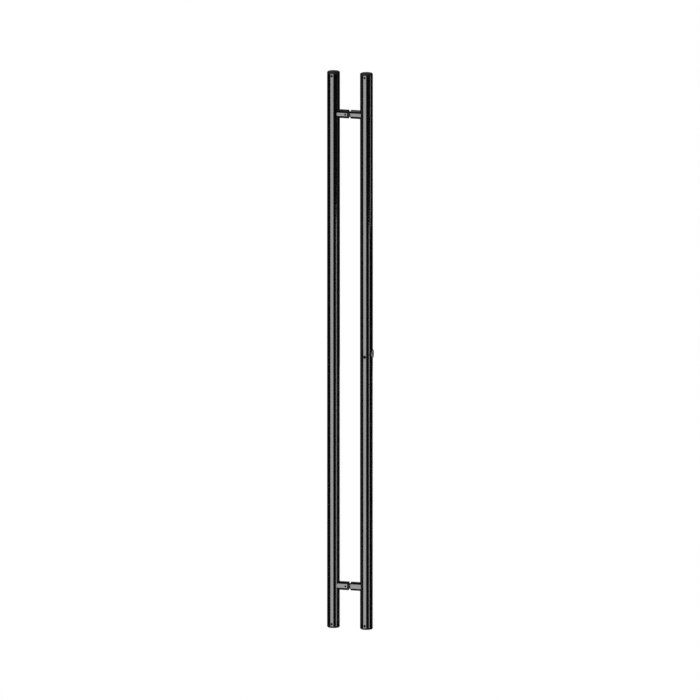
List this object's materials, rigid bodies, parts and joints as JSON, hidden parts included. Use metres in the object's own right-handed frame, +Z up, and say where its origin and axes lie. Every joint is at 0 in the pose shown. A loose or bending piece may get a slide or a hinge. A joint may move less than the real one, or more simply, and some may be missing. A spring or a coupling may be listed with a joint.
{
  "type": "locking door pull handle",
  "caption": "Back-to-back pair of long round black door pulls on short posts, clamped through the door, with a key lock in the outer bar that drops a rod from its lower end.",
  "frame": {"origin": "middle of the door gap, midway between the two through bolts", "axes": "+X through the door from the inner bar to the outer bar with the lock, +Z up along the bars, -Y the side that the set screws face"},
  "size_m": [0.1404, 0.038, 1.6764],
  "materials": {
    "black_finish": "semi-gloss black",
    "satin_black": "satin black",
    "black_oxide": "black oxide",
    "plain_steel": "machined",
    "satin_nickel": "satin nickel",
    "gasket_rubber": "matt",
    "nylon": "matt",
    "carrier_alloy": "machined"
  },
  "bodies": {
    "handle": {"inner_bar": "black_finish", "outer_bar": "black_finish", "inner_upper_post": "black_finish", "inner_lower_post": "black_finish", "outer_upper_post": "black_finish", "outer_lower_post": "black_finish", "inner_top_cap": "satin_black", "inner_bottom_cap": "satin_black", "outer_top_cap": "satin_black", "outer_bottom_cap": "satin_black", "cap_set_screws": "black_oxide", "post_set_screws": "black_oxide", "carrier_screw": "black_oxide", "lock_ring": "black_oxide", "through_bolts": "plain_steel", "post_bolts": "plain_steel", "saddle_nuts": "plain_steel", "lock_cylinder": "satin_nickel", "inner_upper_gasket": "gasket_rubber", "inner_lower_gasket": "gasket_rubber", "outer_upper_gasket": "gasket_rubber", "outer_lower_gasket": "gasket_rubber", "upper_sleeve": "nylon", "lower_sleeve": "nylon", "rod_bush": "nylon", "lock_carrier": "carrier_alloy"},
    "rod": {"lock_rod": "plain_steel", "rod_yoke": "plain_steel", "yoke_pin": "plain_steel"},
    "plug": {"lock_plug": "satin_nickel", "lock_crank": "plain_steel", "crank_screw": "plain_steel"}
  },
  "joints": [
    {"name": "rod_drop", "type": "slide", "parent": "handle", "child": "rod", "axis": [0, 0, -1], "range_m": [0, 0.012]},
    {"name": "key_turn", "type": "hinge", "parent": "handle", "child": "plug", "pos_m": [0.051, 0, -0.008], "axis": [-1, 0, 0], "range_deg": [0, 90]}
  ],
  "couplings": [
    {"joint": "key_turn", "follows": "rod_drop", "rad_per_m": 130.67}
  ]
}
